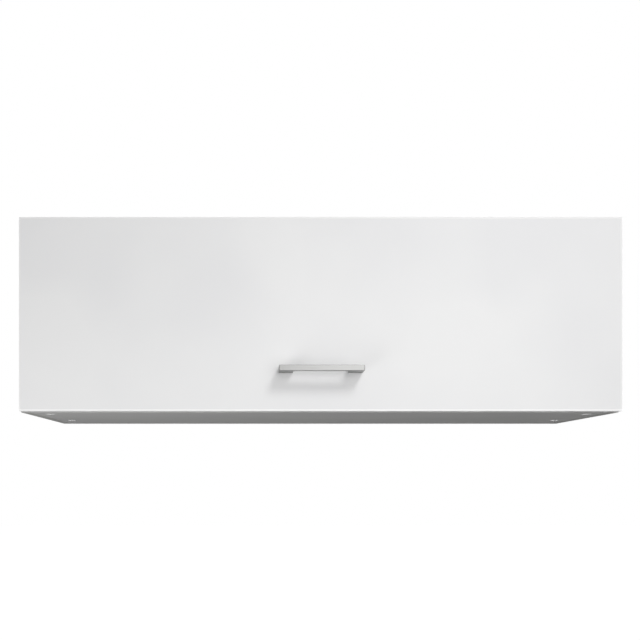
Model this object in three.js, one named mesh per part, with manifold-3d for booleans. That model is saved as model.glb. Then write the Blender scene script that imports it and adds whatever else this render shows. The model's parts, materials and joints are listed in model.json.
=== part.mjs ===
// Lift-up wall cabinet: a melamine carcass that hangs on a steel wall rail, one wide door on
// two single-pivot cup hinges under the top panel, two gas struts and a bow handle.
// Millimetres, +Z up, the door faces -Y, and the wall is the plane y = 0.
// Everything is laid out from the carcass floor up (z = 0 under the side panels); the whole
// cabinet is then lowered so that the origin is the middle of the wall rail's rear face.

import * as THREE from 'three';
import { mergeVertices } from 'three/addons/utils/BufferGeometryUtils.js';
import Module from 'manifold-3d';

// ---------------------------------------------------------------- driving dimensions
const WIDTH = 1000;            // over the side panels
const HEIGHT = 320;            // side panels
const DEPTH = 302;             // side panels, wall to front edge
const BOARD = 16;              // melamine-faced board
const GAP = 0.3;               // working clearance between neighbouring pieces

const BACK_THICK = 3;          // hardboard back
const BACK_INSET = 16;         // free space between back and wall
const GROOVE_DEPTH = 8;

const DOOR_WIDTH = 996;
const DOOR_HEIGHT = 320;
const DOOR_RISE = 1;           // door above the carcass, at top and bottom
const DOOR_GAP = 3;            // door to carcass, the thickness of the bumpers

const HINGE_X = 398;           // hinge centre lines
const CUP_RADIUS = 17.5;
const CUP_BORE_DEPTH = 12;
const CUP_EDGE = 3;            // cup bore to the door's top edge
const PIN_BELOW_EDGE = 6.8;    // hinge axis to the door's top edge
const PIN_DEPTH = 8.5;         // hinge axis to the door's inner face
const PIN_RADIUS = 1.1;
const OPEN_ANGLE = 80;         // full lift, degrees

const STRUT_X = 470;           // centre plane of a gas strut
const STRUT_TOP = { y: -278, z: 293 };    // ball on the side panel
const STRUT_FOOT = { y: -287, z: 163 };   // ball on the closed door
const CYLINDER_RADIUS = 7.5;
const CYLINDER_END = 79;       // from the upper ball to the cylinder's open end
const ROD_RADIUS = 3;
const BALL_RADIUS = 4;
const SOCKET = { radius: 6.5, half: 4.5, pocket: 4.5 };

const HANDLE = { length: 138.5, height: 9, reach: 36, bar: 10, leg: 23.5, centreZ: 68 };
const HANDLE_SCREW_X = 64;     // 128 mm hole spacing

const RAIL = { halfLength: 480, centreZ: 256, height: 40, sheet: 2, lip: 12, standOff: 8 };
const RAIL_HOLES_X = [80, 240, 400];
const HANGER = { width: 16, depth: 46, bottom: 240, top: 300 };
const HOOK = { x: 475, width: 10, sheet: 2, bottom: 278, under: 287 };

const CAM_X = 460;               // cam fitting centre lines
const CAM_RADIUS = 7.5;
const CAM_DEPTH = 12;
const CAM_PROUD = 0.4;
const CAM_FROM_FRONT = [37, 197];

// ---------------------------------------------------------------- derived places
const SIDE_IN = WIDTH / 2 - BOARD;
const FRONT = -DEPTH;
const DOOR_IN = FRONT - DOOR_GAP;
const DOOR_OUT = DOOR_IN - BOARD;
const DOOR_TOP = DOOR_HEIGHT + DOOR_RISE;
const TOP_UNDER = HEIGHT - BOARD;
const BACK_REAR = -BACK_INSET - GAP;
const BACK_FRONT = BACK_REAR - BACK_THICK;
const CUP_Z = DOOR_TOP - CUP_EDGE - CUP_RADIUS;
const PIN = { y: DOOR_IN - PIN_DEPTH, z: DOOR_TOP - PIN_BELOW_EDGE };
const SIDES = [['left', -1], ['right', 1]];

// ---------------------------------------------------------------- finishes
const finish = (color, roughness, metalness = 0) => (
  new THREE.MeshStandardMaterial({ color, roughness, metalness }));
const melamine = finish(0xf2f2f0, 0.45);
const doorWhite = finish(0xf4f4f2, 0.35);
const hardboard = finish(0x9a7350, 0.85);
const satinMetal = finish(0xc9c9c7, 0.32, 0.9);
const nickel = finish(0xb9b7b1, 0.25, 1);
const zinc = finish(0xa9adb0, 0.4, 0.9);
const chrome = finish(0xd8d8d8, 0.12, 1);
const strutGrey = finish(0x8d9194, 0.4, 0.4);
const whitePlastic = finish(0xe9e9e6, 0.5);
const capGrey = finish(0xc4c6c6, 0.5);
const clearPad = finish(0xdfe3e4, 0.3);

// ---------------------------------------------------------------- solids and booleans
const wasm = await Module();
wasm.setup();

function toSolid(geometry) {
  const bare = geometry.clone();
  bare.deleteAttribute('normal');
  bare.deleteAttribute('uv');
  const merged = mergeVertices(bare, 1e-4);
  return new wasm.Manifold(new wasm.Mesh({
    numProp: 3,
    vertProperties: new Float32Array(merged.attributes.position.array),
    triVerts: new Uint32Array(merged.index.array),
  }));
}

function toGeometry(solid) {
  const mesh = solid.getMesh();
  const geometry = new THREE.BufferGeometry();
  geometry.setAttribute('position', new THREE.BufferAttribute(mesh.vertProperties, 3));
  geometry.setIndex(new THREE.BufferAttribute(mesh.triVerts, 1));
  geometry.computeVertexNormals();
  return geometry;
}

/** The first geometry joined with `added` and then cut by `cut`. */
function shaped(first, { added = [], cut = [] }) {
  let solid = toSolid(first);
  for (const piece of added) solid = solid.add(toSolid(piece));
  for (const piece of cut) solid = solid.subtract(toSolid(piece));
  return toGeometry(solid);
}

/** A block between two opposite corners. */
function block([x0, x1], [y0, y1], [z0, z1]) {
  const geometry = new THREE.BoxGeometry(Math.abs(x1 - x0), Math.abs(y1 - y0), Math.abs(z1 - z0));
  return geometry.translate((x0 + x1) / 2, (y0 + y1) / 2, (z0 + z1) / 2);
}

/** A round bar along X, Y or Z, from one coordinate to another, at the two other coordinates. */
function bar(axis, radius, [from, to], [a, b], sides = 20) {
  const geometry = new THREE.CylinderGeometry(radius, radius, Math.abs(to - from), sides);
  const middle = (from + to) / 2;
  if (axis === 'x') return geometry.rotateZ(-Math.PI / 2).translate(middle, a, b);
  if (axis === 'y') return geometry.translate(a, middle, b);
  return geometry.rotateX(Math.PI / 2).translate(a, b, middle);
}

/** An outline drawn in Y and Z, as [y, z] points, made `width` thick and centred on x. */
function yzPlate(points, x, width) {
  const outline = new THREE.Shape(points.map(([y, z]) => new THREE.Vector2(y, z)));
  const geometry = new THREE.ExtrudeGeometry(outline, { depth: width, bevelEnabled: false });
  // shape X, Y and depth become world Y, Z and X
  const turn = new THREE.Matrix4().makeBasis(
    new THREE.Vector3(0, 1, 0), new THREE.Vector3(0, 0, 1), new THREE.Vector3(1, 0, 0));
  return geometry.applyMatrix4(turn).translate(x - width / 2, 0, 0);
}

const cabinet = new THREE.Group();
cabinet.position.z = -RAIL.centreZ;

function put(name, geometry, material, parent = cabinet) {
  const mesh = new THREE.Mesh(geometry, material);
  mesh.name = name;
  parent.add(mesh);
  return mesh;
}

/** A cross-head screw along X, Y or Z: shank, head and a cross cut into the head. */
function screw(axis, { head, seat, tip, at, headRadius = 4, shankRadius = 1.8 }) {
  const away = Math.sign(head - seat);
  const arm = headRadius * 0.55;
  const slots = [[arm, 0.55], [0.55, arm]].map(([p, q]) => {
    const depth = [head - away * 1.1, head + away];
    const across = [[at[0] - p, at[0] + p], [at[1] - q, at[1] + q]];
    if (axis === 'x') return block(depth, ...across);
    if (axis === 'y') return block(across[0], depth, across[1]);
    return block(...across, depth);
  });
  return shaped(bar(axis, headRadius, [seat, head], at, 16), {
    added: [bar(axis, shankRadius, [tip, seat + away * 0.2], at, 10)],
    cut: slots,
  });
}

// ---------------------------------------------------------------- carcass
const camY = CAM_FROM_FRONT.map((distance) => FRONT + distance);
const hingePlateY = FRONT + 37;
const PLATE_SCREW_X = 16;
const BRACKET_SCREWS_BELOW_BALL = [13, 31];
const PILOT_RADIUS = 2.1;

/** Groove for the back, open towards the inside of the cabinet. */
const grooveY = [BACK_FRONT - GAP, BACK_REAR + GAP];

function sidePanel(side) {
  const inner = side * SIDE_IN;
  const bracketHoles = BRACKET_SCREWS_BELOW_BALL.map((drop) => bar(
    'x', PILOT_RADIUS, [inner - side, inner + side * 12],
    [STRUT_TOP.y, STRUT_TOP.z - drop], 12));
  return shaped(block([inner, side * WIDTH / 2], [FRONT, 0], [0, HEIGHT]), {
    cut: [
      block([inner - side, inner + side * GROOVE_DEPTH], grooveY, [8, HEIGHT - 8]),
      ...bracketHoles,
    ],
  });
}

function camPocket(x, y, face, into) {
  return bar('z', CAM_RADIUS + GAP, [face - into, face + into * (CAM_DEPTH + GAP)], [x, y], 32);
}

function topPanel() {
  const pockets = SIDES.flatMap(([, side]) => camY.map(
    (y) => camPocket(side * CAM_X, y, HEIGHT, -1)));
  const plateHoles = SIDES.flatMap(([, side]) => [-1, 1].map((end) => bar(
    'z', PILOT_RADIUS, [TOP_UNDER - 1, TOP_UNDER + 11],
    [side * HINGE_X + end * PLATE_SCREW_X, hingePlateY], 12)));
  return shaped(block([-SIDE_IN, SIDE_IN], [FRONT, 0], [TOP_UNDER, HEIGHT]), {
    cut: [
      block([-SIDE_IN - 1, SIDE_IN + 1], grooveY, [TOP_UNDER - 1, TOP_UNDER + GROOVE_DEPTH]),
      ...pockets, ...plateHoles,
    ],
  });
}

function bottomPanel() {
  const pockets = SIDES.flatMap(([, side]) => camY.map(
    (y) => camPocket(side * CAM_X, y, 0, 1)));
  return shaped(block([-SIDE_IN, SIDE_IN], [FRONT, 0], [0, BOARD]), {
    cut: [
      block([-SIDE_IN - 1, SIDE_IN + 1], grooveY, [BOARD - GROOVE_DEPTH, BOARD + 1]),
      ...pockets,
    ],
  });
}

function backPanel() {
  const half = SIDE_IN + GROOVE_DEPTH - GAP - 0.7;
  const zRange = [BOARD - GROOVE_DEPTH + 1, TOP_UNDER + GROOVE_DEPTH - 1];
  const slots = SIDES.map(([, side]) => block(
    [side * HOOK.x - HOOK.width, side * HOOK.x + HOOK.width],
    [BACK_FRONT - 1, BACK_REAR + 1], [HOOK.bottom - 8, HANGER.top - 4]));
  return shaped(block([-half, half], [BACK_FRONT, BACK_REAR], zRange), { cut: slots });
}

/** Eccentric fitting seen as a round face with a cross recess. */
function cam(x, y, face, into) {
  const outer = face - into * CAM_PROUD;
  const recess = [outer - into, outer + into * 2];
  return shaped(bar('z', CAM_RADIUS, [outer, face + into * CAM_DEPTH], [x, y], 32), {
    cut: [
      block([x - 3.6, x + 3.6], [y - 0.8, y + 0.8], recess),
      block([x - 0.8, x + 0.8], [y - 3.6, y + 3.6], recess),
    ],
  });
}

for (const [hand, side] of SIDES) put(`side_panel_${hand}`, sidePanel(side), melamine);
put('top_panel', topPanel(), melamine);
put('bottom_panel', bottomPanel(), melamine);
put('back_panel', backPanel(), hardboard);
for (const [hand, side] of SIDES) {
  for (const [place, y] of [['front', camY[0]], ['rear', camY[1]]]) {
    put(`cam_bottom_${place}_${hand}`, cam(side * CAM_X, y, 0, 1), capGrey);
    put(`cam_top_${place}_${hand}`, cam(side * CAM_X, y, HEIGHT, -1), zinc);
  }
}

// ---------------------------------------------------------------- wall rail and hangers
function wallRail() {
  const half = RAIL.height / 2;
  const low = RAIL.centreZ - half;
  const high = RAIL.centreZ + half;
  const { sheet, lip, standOff } = RAIL;
  const section = [
    [0, low], [0, high], [-standOff + sheet, high], [-standOff + sheet, high + lip - sheet],
    [-standOff, high + lip - sheet], [-standOff, high - sheet], [-sheet, high - sheet],
    [-sheet, low],
  ];
  const holes = RAIL_HOLES_X.flatMap((x) => [-x, x]).map(
    (x) => bar('y', 3.2, [-sheet - 1, 1], [x, RAIL.centreZ], 16));
  return shaped(yzPlate(section, 0, 2 * RAIL.halfLength), { cut: holes });
}

/** Plastic hanger body in the upper rear corner, with a pocket that holds the hook plate. */
function hangerHousing(side) {
  const outer = side * SIDE_IN;
  const front = BACK_FRONT - GAP - HANGER.depth;
  const hookX = [side * HOOK.x - HOOK.width / 2 - GAP, side * HOOK.x + HOOK.width / 2 + GAP];
  const screwHole = bar('y', 4.4, [front - 1, front + 8], [side * HOOK.x, HANGER.bottom + 20], 16);
  return shaped(
    block([outer, outer - side * HANGER.width], [front, BACK_FRONT - GAP],
      [HANGER.bottom, HANGER.top]), {
      cut: [
        block(hookX, [front + 6, 0], [HOOK.under - GAP, HOOK.under + HOOK.sheet + GAP]),
        screwHole,
      ],
    });
}

/** Bent steel hook that passes through the back and drops behind the rail's lip. */
function hangerHook(side) {
  const top = HOOK.under + HOOK.sheet;
  const tip = -RAIL.standOff + RAIL.sheet + 0.7;
  const inner = BACK_FRONT - HANGER.depth + 8;
  return yzPlate([
    [inner, HOOK.under], [tip, HOOK.under], [tip, HOOK.bottom],
    [tip + HOOK.sheet, HOOK.bottom], [tip + HOOK.sheet, top], [inner, top],
  ], side * HOOK.x, HOOK.width);
}

function hangerScrew(side) {
  const front = BACK_FRONT - GAP - HANGER.depth;
  return screw('y', {
    head: front - 1.2, seat: front + 2.5, tip: front + 7.5,
    at: [side * HOOK.x, HANGER.bottom + 20], shankRadius: 2.5,
  });
}

put('wall_rail', wallRail(), zinc);
for (const [hand, side] of SIDES) {
  put(`hanger_housing_${hand}`, hangerHousing(side), whitePlastic);
  put(`hanger_hook_${hand}`, hangerHook(side), zinc);
  put(`hanger_screw_${hand}`, hangerScrew(side), zinc);
}

// ---------------------------------------------------------------- hinges, carcass side
const PLATE = { wing: 23, wingHalf: 8, wingThick: 2.5, rib: 8, ribLow: 298.5 };
const ARM = { half: 10.5, sheet: 1.5, low: 296, high: 301, rear: -236, front: -297 };
const NECK = { half: 2.5, thick: 3.2, drop: 17, eye: 2.2 };

/** Mounting plate under the top panel: two wings for the screws and a rib for the arm. */
function hingePlate(x) {
  const screwHoles = [-1, 1].map((end) => bar('z', PILOT_RADIUS,
    [TOP_UNDER - 6, TOP_UNDER + 1], [x + end * PLATE_SCREW_X, hingePlateY], 12));
  const armScrewHole = bar('z', 2, [PLATE.ribLow - 1, PLATE.ribLow + 6], [x, hingePlateY + 12], 12);
  return shaped(
    block([x - PLATE.wing, x + PLATE.wing], [hingePlateY - PLATE.wingHalf,
      hingePlateY + PLATE.wingHalf], [TOP_UNDER - PLATE.wingThick, TOP_UNDER]), {
      added: [block([x - PLATE.rib, x + PLATE.rib], [FRONT + 10, FRONT + 60],
        [PLATE.ribLow, TOP_UNDER])],
      cut: [...screwHoles, armScrewHole],
    });
}

/** Channel over the plate's rib, with a bent neck that reaches the pin inside the cup. */
function hingeArm(x) {
  // the closed door's neck hangs from the pin, steep enough to clear the cup when it is open
  const slope = THREE.MathUtils.degToRad(OPEN_ANGLE - 4);
  const down = { y: Math.cos(slope), z: -Math.sin(slope) };
  const elbow = { y: PIN.y + down.y * NECK.drop, z: PIN.z + down.z * NECK.drop };
  const half = NECK.thick / 2;
  const neck = yzPlate([
    [PIN.y - down.z * half, PIN.z + down.y * half],
    [elbow.y - down.z * half, elbow.z + half],
    [ARM.front + 3, elbow.z + half],
    [ARM.front + 3, elbow.z - half],
    [elbow.y + down.z * half, elbow.z - half],
    [PIN.y + down.z * half, PIN.z - down.y * half],
  ], x, 2 * NECK.half);
  const eye = bar('x', NECK.eye, [x - NECK.half, x + NECK.half], [PIN.y, PIN.z], 24);
  const pinHole = bar('x', PIN_RADIUS + 0.2, [x - 6, x + 6], [PIN.y, PIN.z], 16);
  const inside = block([x - ARM.half + ARM.sheet, x + ARM.half - ARM.sheet],
    [ARM.front - 1, ARM.rear + 1], [ARM.low + 2, ARM.high + 1]);
  const screwHole = bar('z', 2, [ARM.low - 1, ARM.low + 3], [x, hingePlateY + 12], 12);
  const channel = shaped(
    block([x - ARM.half, x + ARM.half], [ARM.front, ARM.rear], [ARM.low, ARM.high]),
    { cut: [inside, screwHole] });
  return shaped(channel, { added: [neck, eye], cut: [pinHole] });
}

function hingeArmScrew(x) {
  return screw('z', { head: ARM.low - 1.4, seat: ARM.low - GAP / 2, tip: PLATE.ribLow + 5,
    at: [x, hingePlateY + 12], headRadius: 3.6, shankRadius: 1.6 });
}

function hingePlateScrew(x) {
  const seat = TOP_UNDER - PLATE.wingThick - GAP / 2;
  return screw('z', { head: seat - 1.6, seat, tip: TOP_UNDER + 10, at: [x, hingePlateY] });
}

for (const [hand, side] of SIDES) {
  const x = side * HINGE_X;
  put(`hinge_plate_${hand}`, hingePlate(x), nickel);
  put(`hinge_arm_${hand}`, hingeArm(x), nickel);
  put(`hinge_arm_screw_${hand}`, hingeArmScrew(x), zinc);
  put(`hinge_plate_screw_outer_${hand}`, hingePlateScrew(x + side * PLATE_SCREW_X), zinc);
  put(`hinge_plate_screw_inner_${hand}`, hingePlateScrew(x - side * PLATE_SCREW_X), zinc);
}

// ---------------------------------------------------------------- door
const FLANGE = { radius: 18.1, thick: 1, earX: 22.5, earHalf: 6 };
const CUP_SCREW_X = 22.5;
const cupScrewZ = CUP_Z - 9;
const DOOR_BRACKET = { z0: STRUT_FOOT.z - 18, z1: STRUT_FOOT.z + 18, base: 2.5, x0: 458, x1: 480 };

function doorPanel() {
  const cups = SIDES.map(([, side]) => bar('y', CUP_RADIUS + GAP,
    [DOOR_IN - CUP_BORE_DEPTH, DOOR_IN + 1], [side * HINGE_X, CUP_Z], 48));
  const cupScrews = SIDES.flatMap(([, side]) => [-1, 1].map((end) => bar('y', PILOT_RADIUS,
    [DOOR_IN - 9, DOOR_IN + 1], [side * HINGE_X + end * CUP_SCREW_X, cupScrewZ], 12)));
  const handleHoles = [-1, 1].map((end) => bar('y', 2.5, [DOOR_OUT - 1, DOOR_IN + 1],
    [end * HANDLE_SCREW_X, HANDLE.centreZ], 16));
  const bracketHoles = SIDES.flatMap(([, side]) => [-1, 1].map((row) => bar('y', PILOT_RADIUS,
    [DOOR_IN - 11, DOOR_IN + 1], [side * (DOOR_BRACKET.x0 + 8), STRUT_FOOT.z + row * 12], 12)));
  return shaped(
    block([-DOOR_WIDTH / 2, DOOR_WIDTH / 2], [DOOR_OUT, DOOR_IN], [DOOR_RISE, DOOR_TOP]),
    { cut: [...cups, ...cupScrews, ...handleHoles, ...bracketHoles] });
}

/** Pressed cup with a flange and two screw ears, its mouth towards the cabinet. */
function hingeCup(x) {
  const depth = CUP_BORE_DEPTH - GAP;
  const wall = 1;
  const inner = CUP_RADIUS - 1.2;
  const profile = [
    [0, -depth], [CUP_RADIUS, -depth], [CUP_RADIUS, GAP / 3], [FLANGE.radius, GAP / 3],
    [FLANGE.radius, FLANGE.thick], [inner, FLANGE.thick], [inner, -depth + wall],
    [0, -depth + wall],
  ].map(([r, h]) => new THREE.Vector2(r, h));
  const dish = new THREE.LatheGeometry(profile, 48).translate(x, DOOR_IN, CUP_Z);
  const ears = block([x - FLANGE.earX - FLANGE.earHalf, x + FLANGE.earX + FLANGE.earHalf],
    [DOOR_IN + GAP / 3, DOOR_IN + FLANGE.thick],
    [cupScrewZ - FLANGE.earHalf, cupScrewZ + FLANGE.earHalf]);
  const mouth = bar('y', inner, [DOOR_IN - 4, DOOR_IN + 2], [x, CUP_Z], 48);
  const earHoles = [-1, 1].map((end) => bar('y', PILOT_RADIUS, [DOOR_IN - 1, DOOR_IN + 2],
    [x + end * CUP_SCREW_X, cupScrewZ], 12));
  return shaped(dish, { added: [ears], cut: [mouth, ...earHoles] });
}

function hingePin(x) {
  return bar('x', PIN_RADIUS, [x - 6.3, x + 6.3], [PIN.y, PIN.z], 16);
}

function hingeCupScrew(x) {
  const seat = DOOR_IN + FLANGE.thick + GAP / 2;
  return screw('y', { head: seat + 1.4, seat, tip: DOOR_IN - 8, at: [x, cupScrewZ],
    headRadius: 3.6 });
}

/** Bow handle: a bar on two wide legs, rounded outside and filleted inside. */
function handle() {
  const half = HANDLE.length / 2;
  const gapHalf = half - HANDLE.leg;
  const barBack = HANDLE.reach - HANDLE.bar;
  const round = 3;
  const fillet = 7;
  const outline = new THREE.Shape();
  outline.moveTo(-half, 0);
  outline.lineTo(-half, HANDLE.reach - round);
  outline.absarc(-half + round, HANDLE.reach - round, round, Math.PI, Math.PI / 2, true);
  outline.lineTo(half - round, HANDLE.reach);
  outline.absarc(half - round, HANDLE.reach - round, round, Math.PI / 2, 0, true);
  outline.lineTo(half, 0);
  outline.lineTo(gapHalf, 0);
  outline.lineTo(gapHalf, barBack - fillet);
  outline.absarc(gapHalf - fillet, barBack - fillet, fillet, 0, Math.PI / 2, false);
  outline.lineTo(-gapHalf + fillet, barBack);
  outline.absarc(-gapHalf + fillet, barBack - fillet, fillet, Math.PI / 2, Math.PI, false);
  outline.lineTo(-gapHalf, 0);
  outline.closePath();
  const bevel = 0.8;
  const bow = new THREE.ExtrudeGeometry(outline, {
    depth: HANDLE.height - 2 * bevel, curveSegments: 6,
    bevelThickness: bevel, bevelSize: bevel, bevelOffset: -bevel, bevelSegments: 2,
  });
  // drawn in plan with its reach along +Y, then turned so that it stands out towards -Y
  bow.translate(0, 0, -HANDLE.height / 2 + bevel).rotateX(Math.PI);
  bow.translate(0, DOOR_OUT, HANDLE.centreZ);
  const foot = block([-half - 1, half + 1], [DOOR_OUT - GAP / 2, DOOR_OUT + 3],
    [HANDLE.centreZ - HANDLE.height, HANDLE.centreZ + HANDLE.height]);
  const threads = [-1, 1].map((end) => bar('y', 2.3, [DOOR_OUT - 12, DOOR_OUT + 1],
    [end * HANDLE_SCREW_X, HANDLE.centreZ], 12));
  return shaped(bow, { cut: [foot, ...threads] });
}

function handleScrew(x) {
  return screw('y', { head: DOOR_IN + 2.6, seat: DOOR_IN + GAP / 2, tip: DOOR_OUT - 10,
    at: [x, HANDLE.centreZ], headRadius: 4.4, shankRadius: 2 });
}

/** Angle bracket on the door's inner face, with a stud that meets the strut's lower end. */
function strutDoorBracket(side) {
  const { z0, z1, base, x0, x1 } = DOOR_BRACKET;
  const lug = [side * (x1 - 3), side * x1];
  const { y, z } = STRUT_FOOT;
  const plate = block([side * x0, side * x1], [DOOR_IN, DOOR_IN + base], [z0, z1]);
  const upright = yzPlate([[DOOR_IN, z - 12], [y, z - 7], [y + 7, z], [y, z + 7],
    [DOOR_IN, z + 12]], (lug[0] + lug[1]) / 2, 3);
  const stud = bar('x', BALL_RADIUS, [side * (STRUT_X + SOCKET.half + 0.5), lug[0] + side], [y, z]);
  const holes = [-1, 1].map((row) => bar('y', PILOT_RADIUS, [DOOR_IN - 1, DOOR_IN + base + 1],
    [side * (x0 + 8), z + row * 12], 12));
  return shaped(plate, { added: [upright, stud], cut: holes });
}

function doorBracketScrew(side, row) {
  const seat = DOOR_IN + DOOR_BRACKET.base + GAP / 2;
  return screw('y', { head: seat + 1.6, seat, tip: DOOR_IN - 10,
    at: [side * (DOOR_BRACKET.x0 + 8), STRUT_FOOT.z + row * 12], headRadius: 3.4 });
}

function bumper(side) {
  const at = [side * (SIDE_IN + BOARD / 2), 14];
  return bar('y', 4.5, [DOOR_IN, DOOR_IN + DOOR_GAP - GAP], at, 24);
}

put('door_panel', doorPanel(), doorWhite);
put('handle', handle(), satinMetal);
for (const [hand, side] of SIDES) {
  const x = side * HINGE_X;
  put(`handle_screw_${hand}`, handleScrew(side * HANDLE_SCREW_X), zinc);
  put(`hinge_cup_${hand}`, hingeCup(x), nickel);
  put(`hinge_pin_${hand}`, hingePin(x), chrome);
  put(`hinge_cup_screw_outer_${hand}`, hingeCupScrew(x + side * CUP_SCREW_X), zinc);
  put(`hinge_cup_screw_inner_${hand}`, hingeCupScrew(x - side * CUP_SCREW_X), zinc);
  put(`strut_door_bracket_${hand}`, strutDoorBracket(side), zinc);
  put(`strut_door_screw_lower_${hand}`, doorBracketScrew(side, -1), zinc);
  put(`strut_door_screw_upper_${hand}`, doorBracketScrew(side, 1), zinc);
  put(`bumper_${hand}`, bumper(side), clearPad);
}

// ---------------------------------------------------------------- gas struts
const WALL_BRACKET = { halfY: 9, z0: STRUT_TOP.z - 38, z1: STRUT_TOP.z + 9, thick: 2.5 };

/** Plate on the side panel with a ball stud for the strut's upper end. */
function strutWallBracket(side) {
  const { y, z } = STRUT_TOP;
  const { halfY, z0, z1, thick } = WALL_BRACKET;
  const face = side * (SIDE_IN - thick);
  const ball = new THREE.SphereGeometry(BALL_RADIUS, 20, 12).rotateZ(Math.PI / 2);
  const stem = bar('x', 2.5, [side * (STRUT_X + 1), face + side], [y, z], 16);
  const holes = BRACKET_SCREWS_BELOW_BALL.map((drop) => bar('x', PILOT_RADIUS,
    [face - side, side * SIDE_IN + side], [y, z - drop], 12));
  return shaped(block([side * SIDE_IN, face], [y - halfY, y + halfY], [z0, z1]), {
    added: [stem, ball.translate(side * STRUT_X, y, z)], cut: holes,
  });
}

function wallBracketScrew(side, drop) {
  const seat = side * (SIDE_IN - WALL_BRACKET.thick - GAP / 2);
  return screw('x', { head: seat - side * 1.6, seat, tip: side * (SIDE_IN + 10),
    at: [STRUT_TOP.y, STRUT_TOP.z - drop], headRadius: 3.4 });
}

/** A group whose local -Z runs down the closed strut from its upper ball. */
function strutFrame(side) {
  const frame = new THREE.Group();
  frame.position.set(side * STRUT_X, STRUT_TOP.y, STRUT_TOP.z);
  frame.rotation.x = -Math.atan2(STRUT_TOP.y - STRUT_FOOT.y, STRUT_TOP.z - STRUT_FOOT.z);
  cabinet.add(frame);
  return frame;
}

const strutLength = Math.hypot(STRUT_TOP.y - STRUT_FOOT.y, STRUT_TOP.z - STRUT_FOOT.z);
const ROD_INSIDE = 64;         // rod inside the cylinder when the door is closed

/** Cylinder with its end fitting; the fitting's pocket is open towards the side panel. */
function strutCylinder(side) {
  const tube = bar('z', CYLINDER_RADIUS, [-CYLINDER_END, -12], [0, 0], 28);
  const collar = bar('z', 5, [-12.5, -3], [0, 0], 20);
  const socket = bar('x', SOCKET.radius, [-side * SOCKET.half - side, side * 3], [0, 0], 28);
  const pocket = bar('x', SOCKET.pocket, [-side * SOCKET.pocket, side * 6], [0, 0], 24);
  const bore = bar('z', ROD_RADIUS + GAP, [-CYLINDER_END - 1, -14], [0, 0], 20);
  return shaped(tube, { added: [collar, socket], cut: [pocket, bore] });
}

/** Rod with its lower end fitting, which stands just clear of the door bracket's stud. */
function strutRod(side) {
  const end = -strutLength;
  const rod = bar('z', ROD_RADIUS, [-CYLINDER_END + ROD_INSIDE, end + 8], [0, 0], 20);
  const collar = bar('z', 4.4, [end + 3, end + 15], [0, 0], 20);
  const socket = bar('x', SOCKET.radius, [-SOCKET.half, SOCKET.half], [0, end], 28);
  return shaped(rod, { added: [collar, socket] });
}

for (const [hand, side] of SIDES) {
  put(`strut_wall_bracket_${hand}`, strutWallBracket(side), zinc);
  const frame = strutFrame(side);
  put(`strut_cylinder_${hand}`, strutCylinder(side), strutGrey, frame);
  put(`strut_rod_${hand}`, strutRod(side), chrome, frame);
}
for (const [hand, side] of SIDES) {
  put(`strut_wall_screw_upper_${hand}`, wallBracketScrew(side, BRACKET_SCREWS_BELOW_BALL[0]), zinc);
  put(`strut_wall_screw_lower_${hand}`, wallBracketScrew(side, BRACKET_SCREWS_BELOW_BALL[1]), zinc);
}

export default cabinet;
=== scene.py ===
"""Looks of a wall-hung kitchen cabinet with one lift-up door.

The cabinet is white melamine-faced board with a satin bow handle. It hangs on a zinc-plated
rail, and its door lifts on two cup hinges and is held up by two gas struts. The script dresses
the pieces of the fixed frame, adds the finer shapes and sets the camera, the lights and the
floor. All sizes below are in millimetres unless a name says otherwise.
"""

from __future__ import annotations

import json
import logging
import math
from dataclasses import dataclass, field
from enum import Enum

import bmesh
import bpy
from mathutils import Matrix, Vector

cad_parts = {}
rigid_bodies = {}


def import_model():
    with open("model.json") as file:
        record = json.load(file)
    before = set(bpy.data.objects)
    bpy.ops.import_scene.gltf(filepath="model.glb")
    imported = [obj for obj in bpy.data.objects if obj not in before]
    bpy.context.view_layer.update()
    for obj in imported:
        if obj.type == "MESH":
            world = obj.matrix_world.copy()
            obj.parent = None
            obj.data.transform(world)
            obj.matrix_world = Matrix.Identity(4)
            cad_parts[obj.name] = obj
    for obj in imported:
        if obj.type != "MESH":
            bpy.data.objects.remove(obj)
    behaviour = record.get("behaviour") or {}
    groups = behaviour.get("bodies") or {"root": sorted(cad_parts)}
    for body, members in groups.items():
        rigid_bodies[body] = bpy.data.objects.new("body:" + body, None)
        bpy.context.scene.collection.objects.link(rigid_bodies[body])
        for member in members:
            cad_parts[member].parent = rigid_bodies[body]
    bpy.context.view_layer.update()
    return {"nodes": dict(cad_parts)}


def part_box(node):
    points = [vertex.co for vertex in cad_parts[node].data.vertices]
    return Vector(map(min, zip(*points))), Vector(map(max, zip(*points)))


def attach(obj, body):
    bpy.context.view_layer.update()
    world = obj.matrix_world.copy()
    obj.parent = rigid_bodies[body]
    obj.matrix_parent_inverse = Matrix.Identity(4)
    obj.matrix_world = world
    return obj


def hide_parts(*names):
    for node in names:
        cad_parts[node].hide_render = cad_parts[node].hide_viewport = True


LOG = logging.getLogger("lift_up_cabinet")
MM = 0.001
# Each hand, and the side of the middle plane that it lies on.
HANDS = {"left": -1, "right": 1}
Tree = bpy.types.NodeTree
Node = bpy.types.Node
Socket = bpy.types.NodeSocket
Mesh = bmesh.types.BMesh
Piece = bpy.types.Object
Nodes = dict[str, Piece]
Pair = tuple[float, float]
Point = tuple[float, float, float]
Profile = list[Pair]


# ------------------------------ colour and nodes

# A Mix node's inputs go by number below: 0 is its share, 2 and 3 its numbers, 6 and 7 its colours.


def linear(hex_colour: str) -> tuple[float, float, float, float]:
    """Turn an sRGB hex colour into linear RGBA.

    Args:
        hex_colour: Six hex digits, such as "f2f2f0".

    Returns:
        Linear red, green and blue, and an alpha of 1.
    """
    channels = [int(hex_colour[i:i + 2], 16) / 255 for i in (0, 2, 4)]
    # the sRGB curve: a short straight piece near black, then a power of 2.4
    red, green, blue = (
        c / 12.92 if c <= 0.04045 else ((c + 0.055) / 1.055) ** 2.4 for c in channels)
    return red, green, blue, 1.0


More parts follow.
